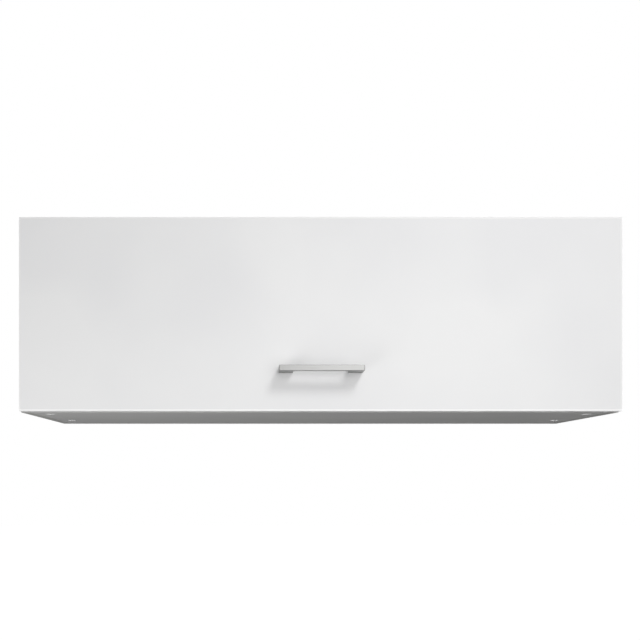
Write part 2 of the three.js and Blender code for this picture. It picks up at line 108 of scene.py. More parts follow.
def add_node(tree: Tree, kind: str, inputs: dict[str | int, object] | None = None,
             **settings: object) -> Node:
    """Add a node with its settings and links.

    Args:
        tree: The node tree to add to.
        kind: The node's type name.
        inputs: What each input, by name or index, gets: a value, the socket that feeds it, or
            a node whose first active output feeds it.
        **settings: Properties of the node itself.

    Returns:
        The new node.
    """
    node = tree.nodes.new(kind)
    for key, value in settings.items():
        setattr(node, key, value)
    for key, value in (inputs or {}).items():
        if isinstance(value, Node):
            value = next(output for output in value.outputs if output.enabled)
        if isinstance(value, Socket):
            tree.links.new(value, node.inputs[key])
        else:
            node.inputs[key].default_value = value
    return node


def pattern_scale(size_mm: float) -> float:
    """Scale of a pattern in metres whose features are about size_mm across."""
    return 1 / (size_mm * MM)


# A wave texture turns by this many radians, not by a whole wave, over one unit of its scale.
WAVE_TURN = 20
# A finish on one face only fades out between these depths below that face.
SKIN_MM = (0.2, 0.4)
# Noise seldom leaves this span, so a map from it uses all of what it maps to.
NOISE_SPAN = {"From Min": 0.3, "From Max": 0.7}
# A map to this is 1 where it starts and 0 where it ends.
FALLING = {"To Min": 1.0, "To Max": 0.0}


# ------------------------------ finishes


class Grain(Enum):
    """How a metal's surface was made: its spread in roughness and the strength of its relief."""

    # brushed along its length with an abrasive belt
    BRUSHED = (0.09, 0.3)
    # tumbled with stone chips, then plated
    TUMBLED = (0.05, 0.12)
    # cold rolled as sheet, then zinc plated
    ROLLED = (0.06, 0.1)
    # ground and polished
    POLISHED = (0.03, 0.1)


@dataclass(frozen=True)
class Finish:
    """A surface finish, built once as a node material.

    Patterns lie in the piece's own coordinates, in metres, so they move with the piece.
    """

    name: str

    def material(self) -> bpy.types.Material:
        """Find the finish's material, or make it at its first use.

        Returns:
            The material.
        """
        known = bpy.data.materials.get(self.name)
        if known is not None:
            return known
        made = bpy.data.materials.new(self.name)
        made.use_nodes = True
        made.node_tree.nodes.clear()
        shader = self.surface(made.node_tree)
        add_node(made.node_tree, "ShaderNodeOutputMaterial", {"Surface": shader})
        return made

    def surface(self, tree: Tree) -> Node:
        """Build the shader.

        Args:
            tree: The material's node tree.

        Returns:
            The shader's node.
        """
        raise NotImplementedError


@dataclass(frozen=True)
class MelamineBoard(Finish):
    """Particle board faced with melamine paper, pressed against a pearl-textured plate.

    The eye sees an even white with a soft, slightly broken gloss. Where a panel's rear edge was
    left without an edge band, the chips and glue of the board show.
    """

    face_hex: str = "ebebe9"
    shade_hex: str = "e4e4e3"
    cloud_mm: float = 220.0
    # the pressed pearl is about 0.6 mm wide; it is drawn at 1.4 mm so that it shows
    pearl_mm: float = 1.4
    pearl_depth_mm: float = 0.05
    pearl_strength: float = 0.25
    roughness: float = 0.66
    # the pearl's hollows are glossier than its ridges
    gloss_spread: Pair = (-0.05, 0.07)
    specular: float = 0.22
    raw_rear: bool = True
    # bare board: chips of about 2 mm, with fine dust and glue between them
    chip_hexes: tuple[str, str] = ("8a6a48", "c8a97e")
    chip_mm: float = 2.2
    dust_hex: str = "6f5236"
    dust_mm: float = 0.8
    bare_roughness: float = 0.9
    bare_skin_mm: Pair = (0.2, 0.5)
    paper_edge: bool = False
    paper_hex: str = "cbcbc8"

    def surface(self, tree: Tree) -> Node:
        """Build the shader.

        Args:
            tree: The material's node tree.

        Returns:
            The shader's node.
        """
        where = add_node(tree, "ShaderNodeTexCoord").outputs["Object"]
        pearl = add_node(tree, "ShaderNodeTexNoise", {
            "Vector": where, "Scale": pattern_scale(self.pearl_mm), "Detail": 3.0,
            "Roughness": 0.55})
        glossy, dull = self.gloss_spread
        colour = self.tone(tree, where)
        gloss = add_node(tree, "ShaderNodeMapRange", {
            "Value": pearl, **NOISE_SPAN, "To Min": self.roughness + glossy,
            "To Max": self.roughness + dull})
        normal = add_node(tree, "ShaderNodeBump", {
            "Height": pearl, "Distance": self.pearl_depth_mm * MM,
            "Strength": self.pearl_strength})
        if self.paper_edge:
            colour = self.with_paper_edge(tree, where, colour)
        if self.raw_rear:
            colour, gloss = self.with_raw_rear(tree, where, colour, gloss)
        return add_node(tree, "ShaderNodeBsdfPrincipled", {
            "Base Color": colour, "Roughness": gloss, "Normal": normal, "IOR": 1.5,
            "Specular IOR Level": self.specular})

    def tone(self, tree: Tree, where: Socket) -> Node:
        """The printed paper's white, which clouds a little from place to place.

        Args:
            tree: The material's node tree.
            where: The point's place.

        Returns:
            The colour's node.
        """
        cloud = add_node(tree, "ShaderNodeTexNoise", {
            "Vector": where, "Scale": pattern_scale(self.cloud_mm), "Detail": 2.0})
        share = add_node(tree, "ShaderNodeMapRange", {
            "Value": cloud, "From Min": 0.35, "From Max": 0.65})
        return add_node(tree, "ShaderNodeMix", {
            0: share, 6: linear(self.face_hex), 7: linear(self.shade_hex)}, data_type="RGBA")

    def with_paper_edge(self, tree: Tree, where: Socket, colour: Node) -> Node:
        """Close the lower edge with thin grey paper, which is duller than the faces.

        Args:
            tree: The material's node tree.
            where: The point's place.
            colour: The colour of the faced board.

        Returns:
            The colour with the paper edge in place.
        """
        height = add_node(tree, "ShaderNodeSeparateXYZ", {"Vector": where}).outputs["Z"]
        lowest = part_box("side_panel_left")[0].z
        paper = add_node(tree, "ShaderNodeMapRange", {
            "Value": height, "From Min": lowest + SKIN_MM[0] * MM,
            "From Max": lowest + SKIN_MM[1] * MM, **FALLING})
        return add_node(tree, "ShaderNodeMix", {
            0: paper, 6: colour, 7: linear(self.paper_hex)}, data_type="RGBA")

    def with_raw_rear(self, tree: Tree, where: Socket, colour: Node,
                      gloss: Node) -> tuple[Node, Node]:
        """Show bare particle board on the edges that lie against the wall.

        Args:
            tree: The material's node tree.
            where: The point's place.
            colour: The colour of the faced board.
            gloss: The roughness of the faced board.

        Returns:
            Colour and roughness with the bare edges in place.
        """
        depth = add_node(tree, "ShaderNodeSeparateXYZ", {"Vector": where}).outputs["Y"]
        # the wall plane is y = 0, and the board lies before it
        bare_from, bare_to = self.bare_skin_mm
        bare = add_node(tree, "ShaderNodeMapRange", {
            "Value": depth, "From Min": -bare_to * MM, "From Max": -bare_from * MM})
        chips = add_node(tree, "ShaderNodeTexVoronoi", {
            "Vector": where, "Scale": pattern_scale(self.chip_mm), "Randomness": 1.0})
        dust = add_node(tree, "ShaderNodeTexNoise", {
            "Vector": where, "Scale": pattern_scale(self.dust_mm), "Detail": 4.0})
        dusty = add_node(tree, "ShaderNodeMapRange", {
            "Value": dust, "From Min": 0.45, "From Max": 0.7})
        dark_chip, light_chip = self.chip_hexes
        wood = add_node(tree, "ShaderNodeMix", {
            0: chips.outputs["Color"], 6: linear(dark_chip), 7: linear(light_chip)},
            data_type="RGBA")
        wood = add_node(tree, "ShaderNodeMix", {
            0: dusty, 6: wood, 7: linear(self.dust_hex)}, data_type="RGBA")
        rough = add_node(tree, "ShaderNodeMix", {
            0: bare, 2: gloss, 3: self.bare_roughness}, data_type="FLOAT")
        faced = add_node(tree, "ShaderNodeMix", {0: bare, 6: colour, 7: wood}, data_type="RGBA")
        return faced, rough


@dataclass(frozen=True)
class SatinDoor(MelamineBoard):
    """Door board with a smooth satin melamine face and a rounded ABS edge band.

    The eye sees a calmer white than on the carcass, and along every edge the band with a fine
    line where it meets the face. The band along the lower edge is painted whiter, a painted
    highlight where its rounding catches light.
    """

    face_hex: str = "f0f0f0"
    shade_hex: str = "eaeaeb"
    cloud_mm: float = 260.0
    pearl_depth_mm: float = 0.03
    pearl_strength: float = 0.15
    roughness: float = 0.36
    gloss_spread: Pair = (-0.04, 0.05)
    specular: float = 0.5
    raw_rear: bool = False
    band_hex: str = "f2f2f2"
    # painted highlight: the band along the lower edge is painted whiter, as if its rounding caught
    # light
    lower_band_highlight_hex: str = "fefefe"
    band_mm: float = 3.0
    line_hex: str = "b9b7b2"
    line_mm: float = 0.25
    line_share: float = 0.2

    def tone(self, tree: Tree, where: Socket) -> Node:
        """The face's white inside its edge bands, with a painted highlight on the band along the
        lower edge.

        Args:
            tree: The material's node tree.
            where: The point's place.

        Returns:
            The colour's node.
        """
        inset = self.inset(tree, where)
        band, line = self.band_mm * MM, self.line_mm * MM
        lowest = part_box("door_panel")[0].z
        height = add_node(tree, "ShaderNodeSeparateXYZ", {"Vector": where}).outputs["Z"]
        # painted highlight: up to this height the lower band gets the whiter highlight colour
        below = add_node(tree, "ShaderNodeMapRange", {
            "Value": height, "From Min": lowest + band, "From Max": lowest + band + line,
            **FALLING})
        bands = add_node(tree, "ShaderNodeMix", {
            0: below, 6: linear(self.band_hex), 7: linear(self.lower_band_highlight_hex)},
            data_type="RGBA")
        on_band = add_node(tree, "ShaderNodeMapRange", {
            "Value": inset, "From Min": band, "From Max": band + line, **FALLING})
        colour = add_node(tree, "ShaderNodeMix", {
            0: on_band, 6: super().tone(tree, where), 7: bands}, data_type="RGBA")
        past = add_node(tree, "ShaderNodeMath", {0: inset, 1: band}, operation="SUBTRACT")
        off_line = add_node(tree, "ShaderNodeMath", {0: past}, operation="ABSOLUTE")
        seam = add_node(tree, "ShaderNodeMapRange", {
            "Value": off_line, "From Min": line / 2, "From Max": line,
            "To Min": self.line_share, "To Max": 0.0})
        return add_node(tree, "ShaderNodeMix", {
            0: seam, 6: colour, 7: linear(self.line_hex)}, data_type="RGBA")

    def inset(self, tree: Tree, where: Socket) -> Node:
        """Distance from the nearest edge of the door.

        Args:
            tree: The material's node tree.
            where: The point's place.

        Returns:
            The distance's node.
        """
        low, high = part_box("door_panel")
        split = add_node(tree, "ShaderNodeSeparateXYZ", {"Vector": where})
        inside = []
        for axis, least, most in (("X", low.x, high.x), ("Z", low.z, high.z)):
            offset = add_node(tree, "ShaderNodeMath", {
                0: split.outputs[axis], 1: (least + most) / 2}, operation="SUBTRACT")
            away = add_node(tree, "ShaderNodeMath", {0: offset}, operation="ABSOLUTE")
            inside.append(add_node(tree, "ShaderNodeMath", {
                0: (most - least) / 2, 1: away}, operation="SUBTRACT"))
        return add_node(tree, "ShaderNodeMath", {0: inside[0], 1: inside[1]},
                        operation="MINIMUM")


@dataclass(frozen=True)
class Hardboard(Finish):
    """Wet-pressed hardboard, brown and screened behind, with a white lacquered front."""

    lacquer_hex: str = "e6e6e3"
    brown_hex: str = "7d5a3a"
    fibre_hex: str = "a07a52"
    fibre_mm: float = 3.0
    # the wire screen's mesh is about 1.6 mm; it is drawn at 3 mm so that it shows
    screen_mm: float = 3.0
    screen_depth_mm: float = 0.15
    screen_strength: float = 0.3
    brown_roughness: float = 0.85
    lacquer_roughness: float = 0.5

    def surface(self, tree: Tree) -> Node:
        """Build the shader.

        Args:
            tree: The material's node tree.

        Returns:
            The shader's node.
        """
        where = add_node(tree, "ShaderNodeTexCoord").outputs["Object"]
        depth = add_node(tree, "ShaderNodeSeparateXYZ", {"Vector": where}).outputs["Y"]
        front_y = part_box("back_panel")[0].y
        front = add_node(tree, "ShaderNodeMapRange", {
            "Value": depth, "From Min": front_y + SKIN_MM[0] * MM,
            "From Max": front_y + SKIN_MM[1] * MM, **FALLING})
        fibre = add_node(tree, "ShaderNodeTexNoise", {
            "Vector": where, "Scale": pattern_scale(self.fibre_mm), "Detail": 6.0,
            "Roughness": 0.7})
        share = add_node(tree, "ShaderNodeMapRange", {"Value": fibre, **NOISE_SPAN})
        brown = add_node(tree, "ShaderNodeMix", {
            0: share, 6: linear(self.brown_hex), 7: linear(self.fibre_hex)}, data_type="RGBA")
        colour = add_node(tree, "ShaderNodeMix", {
            0: front, 6: brown, 7: linear(self.lacquer_hex)}, data_type="RGBA")
        rough = add_node(tree, "ShaderNodeMapRange", {
            "Value": front, "To Min": self.brown_roughness, "To Max": self.lacquer_roughness})
        waves = pattern_scale(self.screen_mm) * math.tau / WAVE_TURN
        wires = [add_node(tree, "ShaderNodeTexWave", {
            "Vector": where, "Scale": waves, "Distortion": 0.6},
            bands_direction=way).outputs["Fac"] for way in ("X", "Z")]
        screen = add_node(tree, "ShaderNodeMath", {0: wires[0], 1: wires[1]},
                          operation="MULTIPLY")
        normal = add_node(tree, "ShaderNodeBump", {
            "Height": screen, "Distance": self.screen_depth_mm * MM,
            "Strength": self.screen_strength})
        return add_node(tree, "ShaderNodeBsdfPrincipled", {
            "Base Color": colour, "Roughness": rough, "Normal": normal})


@dataclass(frozen=True)
class Metal(Finish):
    """A bare or plated metal, told apart by its colour, gloss and grain."""

    metal_hex: str
    worn_hex: str
    roughness: float
    grain: Grain
    grain_mm: float
    relief_mm: float = 0.02
    stroke_ratio: float = 60.0

    def surface(self, tree: Tree) -> Node:
        """Build the shader.

        Args:
            tree: The material's node tree.

        Returns:
            The shader's node.
        """
        spread, relief = self.grain.value
        pattern = self.pattern(tree)
        share = add_node(tree, "ShaderNodeMapRange", {
            "Value": pattern, "From Min": 0.25, "From Max": 0.75})
        colour = add_node(tree, "ShaderNodeMix", {
            0: share, 6: linear(self.metal_hex), 7: linear(self.worn_hex)}, data_type="RGBA")
        rough = add_node(tree, "ShaderNodeMapRange", {
            "Value": share, "To Min": self.roughness - spread, "To Max": self.roughness + spread})
        normal = add_node(tree, "ShaderNodeBump", {
            "Height": pattern, "Distance": self.relief_mm * MM, "Strength": relief})
        return add_node(tree, "ShaderNodeBsdfPrincipled", {
            "Base Color": colour, "Metallic": 1.0, "Roughness": rough, "Normal": normal})

    def pattern(self, tree: Tree) -> Socket:
        """The grain: zinc crystals on rolled sheet, else fine strokes or specks.

        Args:
            tree: The material's node tree.

        Returns:
            The pattern's socket.
        """
        where = add_node(tree, "ShaderNodeTexCoord").outputs["Object"]
        if self.grain is Grain.ROLLED:
            # each crystal has a tone of its own
            return add_node(tree, "ShaderNodeTexVoronoi", {
                "Vector": where, "Scale": pattern_scale(self.grain_mm)}).outputs["Color"]
        if self.grain is Grain.BRUSHED:
            # strokes run along the piece's length, here X
            where = add_node(tree, "ShaderNodeMapping", {
                "Vector": where, "Scale": (1 / self.stroke_ratio, 1.0, 1.0)})
        return add_node(tree, "ShaderNodeTexNoise", {
            "Vector": where, "Scale": pattern_scale(self.grain_mm), "Detail": 4.0,
            "Roughness": 0.6}).outputs["Fac"]


@dataclass(frozen=True)
class Moulded(Finish):
    """An injection-moulded or painted piece with a fine spark-eroded texture."""

    body_hex: str
    shade_hex: str
    roughness: float
    texture_mm: float
    relief: float = 0.25
    relief_mm: float = 0.03
    gloss_spread: Pair = (-0.06, 0.08)
    flow_mm: float = 14.0

    def surface(self, tree: Tree) -> Node:
        """Build the shader.

        Args:
            tree: The material's node tree.

        Returns:
            The shader's node.
        """
        where = add_node(tree, "ShaderNodeTexCoord").outputs["Object"]
        spark = add_node(tree, "ShaderNodeTexNoise", {
            "Vector": where, "Scale": pattern_scale(self.texture_mm), "Detail": 3.0})
        flow = add_node(tree, "ShaderNodeTexNoise", {
            "Vector": where, "Scale": pattern_scale(self.flow_mm), "Detail": 1.0})
        share = add_node(tree, "ShaderNodeMapRange", {"Value": flow, **NOISE_SPAN})
        colour = add_node(tree, "ShaderNodeMix", {
            0: share, 6: linear(self.body_hex), 7: linear(self.shade_hex)}, data_type="RGBA")
        glossy, dull = self.gloss_spread
        rough = add_node(tree, "ShaderNodeMapRange", {
            "Value": spark, **NOISE_SPAN, "To Min": self.roughness + glossy,
            "To Max": self.roughness + dull})
        normal = add_node(tree, "ShaderNodeBump", {
            "Height": spark, "Distance": self.relief_mm * MM, "Strength": self.relief})
        return add_node(tree, "ShaderNodeBsdfPrincipled", {
            "Base Color": colour, "Roughness": rough, "Normal": normal})


@dataclass(frozen=True)
class ClearPad(Finish):
    """A cast polyurethane bumper: clear, soft and slightly milky at its core."""

    clear_hex: str = "f4f7f8"
    milky_hex: str = "dfe6e8"
    milk_mm: float = 3.0
    roughness: float = 0.12
    ior: float = 1.49
    clearness: float = 0.85

    def surface(self, tree: Tree) -> Node:
        """Build the shader.

        Args:
            tree: The material's node tree.

        Returns:
            The shader's node.
        """
        where = add_node(tree, "ShaderNodeTexCoord").outputs["Object"]
        milk = add_node(tree, "ShaderNodeTexNoise", {
            "Vector": where, "Scale": pattern_scale(self.milk_mm), "Detail": 2.0})
        colour = add_node(tree, "ShaderNodeMix", {
            0: milk, 6: linear(self.clear_hex), 7: linear(self.milky_hex)}, data_type="RGBA")
        return add_node(tree, "ShaderNodeBsdfPrincipled", {
            "Base Color": colour, "Roughness": self.roughness, "IOR": self.ior,
            "Transmission Weight": self.clearness})


# Carcass board: the pearl breaks up the gloss, so the underside looks soft grey.
CARCASS_BOARD = MelamineBoard("white_melamine_board")
# Side panels: the same board, with its lower edge closed by grey paper.
SIDE_BOARD = MelamineBoard("white_melamine_side_board", paper_edge=True)
# Door board: the same white with a calmer satin face.
DOOR_BOARD = SatinDoor("satin_white_door_board")
# Back: lacquered side in, brown screened side to the wall.
BACK_BOARD = Hardboard("lacquered_hardboard")
# Handle: zinc alloy, brushed and nickel plated to a satin sheen.
SATIN_NICKEL = Metal("satin_nickel_zinc_alloy", "959594", "8c8c8b", 0.4, Grain.BRUSHED, 0.5)
# Hinges: pressed steel, nickel plated, with a bright and slightly warm gloss.
NICKEL_STEEL = Metal("nickel_plated_steel", "c6c2ba", "bbb7af", 0.24, Grain.TUMBLED, 1.2)
# Screws, brackets, hooks and rail: zinc-plated steel, cool, with faint crystals.
ZINC_STEEL = Metal("zinc_plated_steel", "b6bbbf", "a2a8ac", 0.38, Grain.ROLLED, 3.0)
# Strut rods and hinge pins: hard-chromed and polished, so they mirror like glass.
CHROMED_ROD = Metal("hard_chromed_steel", "d2d3d4", "c8c9ca", 0.08, Grain.POLISHED, 2.0)
# Strut cylinders: steel tube with a smooth baked grey enamel.
GREY_ENAMEL = Moulded("grey_baked_enamel", "8f9396", "8c9093", 0.3, 1.0, 0.06)
# Ball sockets: glass-filled nylon, nearly black and matt.
BLACK_NYLON = Moulded("black_glass_filled_nylon", "262728", "1e1f20", 0.55, 0.6)
# Hanger housings: white moulded ABS.
WHITE_ABS = Moulded("white_moulded_abs", "e9e9e6", "dededb", 0.42, 0.7)
# Cam caps: white moulded polypropylene, glossier than the board.
WHITE_PP = Moulded("white_polypropylene", "f6f6f4", "f0f0ee", 0.12, 0.8)
# Door bumpers.
CLEAR_PU = ClearPad("clear_polyurethane")


# ------------------------------ mesh helpers

# Faces that meet at less than this angle are shaded as one surface.
SMOOTH_BELOW = math.radians(32)
# Edges that turn by more than this angle are rounded.
ROUNDED_ABOVE = math.radians(40)
# Points nearer to each other than this are one point.
MERGE_MM = 0.001
# A spun profile's radius, in metres, that counts as lying on the axis.
ON_AXIS = 1e-7
# Facets across a rounded edge of a spun profile.
ROUNDED_STEPS = 5


def dress(piece: Piece, finish: Finish, arris_mm: float = 0.0, segments: int = 3) -> Piece:
    """Give a piece its finish, smooth shading and rounded edges.

    Args:
        piece: The piece to dress.
        finish: The finish of the whole piece.
        arris_mm: Width of the rounding along sharp edges, or 0 for none.
        segments: Facets across the rounding.

    Returns:
        The same piece.
    """
    piece.data.materials.clear()
    piece.data.materials.append(finish.material())
    for polygon in piece.data.polygons:
        polygon.use_smooth = True
    piece.data.set_sharp_from_angle(angle=SMOOTH_BELOW)
    if arris_mm > 0:
        rounding = piece.modifiers.new("arris", "BEVEL")
        rounding.width = arris_mm * MM
        rounding.segments = segments
        rounding.limit_method = "ANGLE"
        rounding.angle_limit = ROUNDED_ABOVE
        rounding.harden_normals = True
        rounding.use_clamp_overlap = True
    return piece


def new_piece(name: str, mesh: Mesh, finish: Finish, body: str, arris_mm: float = 0.0,
              segments: int = 3) -> Piece:
    """Turn a built mesh into a dressed piece that rides on a body.

    Args:
        name: The piece's name.
        mesh: The built mesh, in metres, in the frame. It is freed here.
        finish: The piece's finish.
        body: The body that it rides on.
        arris_mm: Width of the rounding along sharp edges, or 0 for none.
        segments: Facets across the rounding.

    Returns:
        The new object.
    """
    bmesh.ops.remove_doubles(mesh, verts=mesh.verts, dist=MERGE_MM * MM)
    bmesh.ops.recalc_face_normals(mesh, faces=mesh.faces)
    data = bpy.data.meshes.new(name)
    mesh.to_mesh(data)
    mesh.free()
    piece = bpy.data.objects.new(name, data)
    bpy.context.scene.collection.objects.link(piece)
    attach(piece, body)
    return dress(piece, finish, arris_mm, segments)


def lathe(mesh: Mesh, profile: Profile, start: Vector, axis: Vector, sides: int = 40) -> None:
    """Spin a profile of (radius, distance along the axis) pairs into a closed solid.

    Args:
        mesh: The mesh to add to.
        profile: Points in metres, from the axis round the solid and back to the axis.
        start: The point where the distance is 0.
        axis: The axis to spin about.
        sides: Facets round the axis.
    """
    along = axis.normalized()
    side = along.orthogonal().normalized()
    other = along.cross(side)
    rings: list[list[bmesh.types.BMVert]] = []
    for radius, distance in profile:
        centre = start + along * distance
        if radius < ON_AXIS:
            rings.append([mesh.verts.new(centre)])
            continue
        turn = [math.tau * k / sides for k in range(sides)]
        rings.append([mesh.verts.new(
            centre + (side * math.cos(t) + other * math.sin(t)) * radius) for t in turn])
    for lower, upper in zip(rings, rings[1:]):
        for k in range(sides):
            nxt = (k + 1) % sides
            corners = [lower[k % len(lower)], lower[nxt % len(lower)],
                       upper[nxt % len(upper)], upper[k % len(upper)]]
            unique = list(dict.fromkeys(corners))
            if len(unique) > 2:
                mesh.faces.new(unique)


def arc(centre: Pair, radius: float, start: float, end: float, steps: int) -> Profile:
    """Points on an arc.

    Args:
        centre: The arc's centre.
        radius: The arc's radius.
        start: First angle in degrees.
        end: Last angle in degrees.
        steps: Number of facets.

    Returns:
        The points, ends included.
    """
    angles = [math.radians(start + (end - start) * k / steps) for k in range(steps + 1)]
    return [(centre[0] + radius * math.cos(a), centre[1] + radius * math.sin(a))
            for a in angles]


def rounded(radius: float, distance: float, size: float, start: float, end: float) -> Profile:
    """Rounded edge of a spun profile.

    Args:
        radius: Radius of the rounding's centre.
        distance: Distance of the rounding's centre along the axis.
        size: The rounding's own radius.
        start: First angle in degrees, where 0 points away from the axis.
        end: Last angle in degrees.

    Returns:
        The rounding's points.
    """
    return arc((radius, distance), size, start, end, ROUNDED_STEPS)


# ------------------------------ carcass


@dataclass
class Carcass:
    """The five panels, their fittings and the wall rail with its hangers."""

    board_arris: float = 0.5
    back_arris: float = 0.2
    rail_arris: float = 0.4
    housing_arris: float = 0.8
    hook_arris: float = 0.35
    screw_arris: float = 0.2
    cam_arris: float = 0.3

    def build(self, nodes: Nodes) -> list[Piece]:
        """Dress the carcass.

        Args:
            nodes: The frame's objects by name.

        Returns:
            The pieces.
        """
        return [*self.panels(nodes), *self.hangers(nodes), *self.cams(nodes)]

    def panels(self, nodes: Nodes) -> list[Piece]:
        """Dress the boards and the back.

        Args:
            nodes: The frame's objects by name.

        Returns:
            The pieces.
        """
        boards = {
            "side_panel_left": SIDE_BOARD, "side_panel_right": SIDE_BOARD,
            "top_panel": CARCASS_BOARD, "bottom_panel": CARCASS_BOARD,
        }
        pieces = [dress(nodes[name], board, self.board_arris) for name, board in boards.items()]
        return [*pieces, dress(nodes["back_panel"], BACK_BOARD, self.back_arris)]

    def hangers(self, nodes: Nodes) -> list[Piece]:
        """Dress the wall rail and both hangers.

        Args:
            nodes: The frame's objects by name.

        Returns:
            The pieces.
        """
        pieces = [dress(nodes["wall_rail"], ZINC_STEEL, self.rail_arris)]
        for hand in HANDS:
            pieces += [
                dress(nodes[f"hanger_housing_{hand}"], WHITE_ABS, self.housing_arris),
                dress(nodes[f"hanger_hook_{hand}"], ZINC_STEEL, self.hook_arris),
                dress(nodes[f"hanger_screw_{hand}"], ZINC_STEEL, self.screw_arris),
            ]
        return pieces

    def cams(self, nodes: Nodes) -> list[Piece]:
        """Dress the cam fittings: bare above the cabinet, capped in white below it.

        Args:
            nodes: The frame's objects by name.

        Returns:
            The pieces.
        """
        return [dress(nodes[f"cam_{level}_{end}_{hand}"], finish, self.cam_arris)
                for level, finish in (("top", ZINC_STEEL), ("bottom", WHITE_PP))
                for end in ("front", "rear")
                for hand in HANDS]


# ------------------------------ door


@dataclass
class BowHandle:
    """The bow handle: a flat bar on two wide legs, cast in one piece."""

    leg: float = 23.5
    bar: float = 10.0
    outer_round: float = 1.5
    inner_fillet: float = 8.0
    edge_round: float = 0.6
    edge_segments: int = 4
    round_steps: int = 8
    fillet_steps: int = 10

    def build(self) -> Piece:
        """Build the handle in the place of the frame's plain one.

        Returns:
            The handle.
        """
        low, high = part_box("handle")
        half = (high.x - low.x) / 2 / MM
        reach = (high.y - low.y) / MM
        outline = self.outline(half, reach)
        mesh = bmesh.new()
        bottom = [mesh.verts.new((x * MM, high.y - y * MM, low.z)) for x, y in outline]
        top = [mesh.verts.new((x * MM, high.y - y * MM, high.z)) for x, y in outline]
        mesh.faces.new(bottom)
        mesh.faces.new(list(reversed(top)))
        count = len(outline)
        for k in range(count):
            nxt = (k + 1) % count
            mesh.faces.new([bottom[k], top[k], top[nxt], bottom[nxt]])
        piece = new_piece("bow_handle", mesh, SATIN_NICKEL, "door", self.edge_round,
                          self.edge_segments)
        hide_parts("handle")
        return piece

    def outline(self, half: float, reach: float) -> Profile:
        """The handle's outline in plan.

        Args:
            half: Half of the handle's length.
            reach: How far it stands out.

        Returns:
            The outline's points, x along the handle and y away from the door.
        """
        gap = half - self.leg
        under = reach - self.bar
        r_out, r_in = self.outer_round, self.inner_fillet
        outer = [(half, 0.0),
                 *arc((half - r_out, reach - r_out), r_out, 0, 90, self.round_steps)]
        inner = [(gap, 0.0), *arc((gap - r_in, under - r_in), r_in, 0, 90, self.fillet_steps)]
        mirrored = [(-x, y) for x, y in (*reversed(outer), *inner)]
        return [*outer, *mirrored, *reversed(inner)]


@dataclass
class Door:
    """The lift-up door with its handle, cups, brackets and bumpers."""

    band_round: float = 0.6
    band_segments: int = 4
    cup_arris: float = 0.3
    pin_arris: float = 0.2
    screw_arris: float = 0.25
    bracket_arris: float = 0.4
    bumper_arris: float = 0.8
    handle: BowHandle = field(default_factory=BowHandle)

    def build(self, nodes: Nodes) -> list[Piece]:
        """Dress the door and build its handle.

        Args:
            nodes: The frame's objects by name.

        Returns:
            The pieces.
        """
        panel = dress(nodes["door_panel"], DOOR_BOARD, self.band_round, self.band_segments)
        pieces = [panel, self.handle.build()]
        dressing = {
            "handle_screw": (ZINC_STEEL, self.screw_arris),
            "hinge_cup": (NICKEL_STEEL, self.cup_arris),
            "hinge_pin": (CHROMED_ROD, self.pin_arris),
            "hinge_cup_screw_outer": (NICKEL_STEEL, self.screw_arris),
            "hinge_cup_screw_inner": (NICKEL_STEEL, self.screw_arris),
            "strut_door_bracket": (ZINC_STEEL, self.bracket_arris),
            "strut_door_screw_lower": (ZINC_STEEL, self.screw_arris),
            "strut_door_screw_upper": (ZINC_STEEL, self.screw_arris),
            "bumper": (CLEAR_PU, self.bumper_arris),
        }
        for hand in HANDS:
            pieces += [dress(nodes[f"{name}_{hand}"], finish, arris)
                       for name, (finish, arris) in dressing.items()]
        return pieces


# ------------------------------ hinges


@dataclass
class HingeMounts:
    """The hinge arms and their plates under the top panel."""

    plate_arris: float = 0.35
    screw_arris: float = 0.25

    def build(self, nodes: Nodes) -> list[Piece]:
        """Dress the carcass side of both hinges.

        Args:
            nodes: The frame's objects by name.

        Returns:
            The pieces.
        """
        plates = dict.fromkeys(("plate", "arm"), self.plate_arris)
        screws = dict.fromkeys(
            ("arm_screw", "plate_screw_outer", "plate_screw_inner"), self.screw_arris)
        return [dress(nodes[f"hinge_{part}_{hand}"], NICKEL_STEEL, arris)
                for hand in HANDS for part, arris in (plates | screws).items()]


# ------------------------------ gas struts


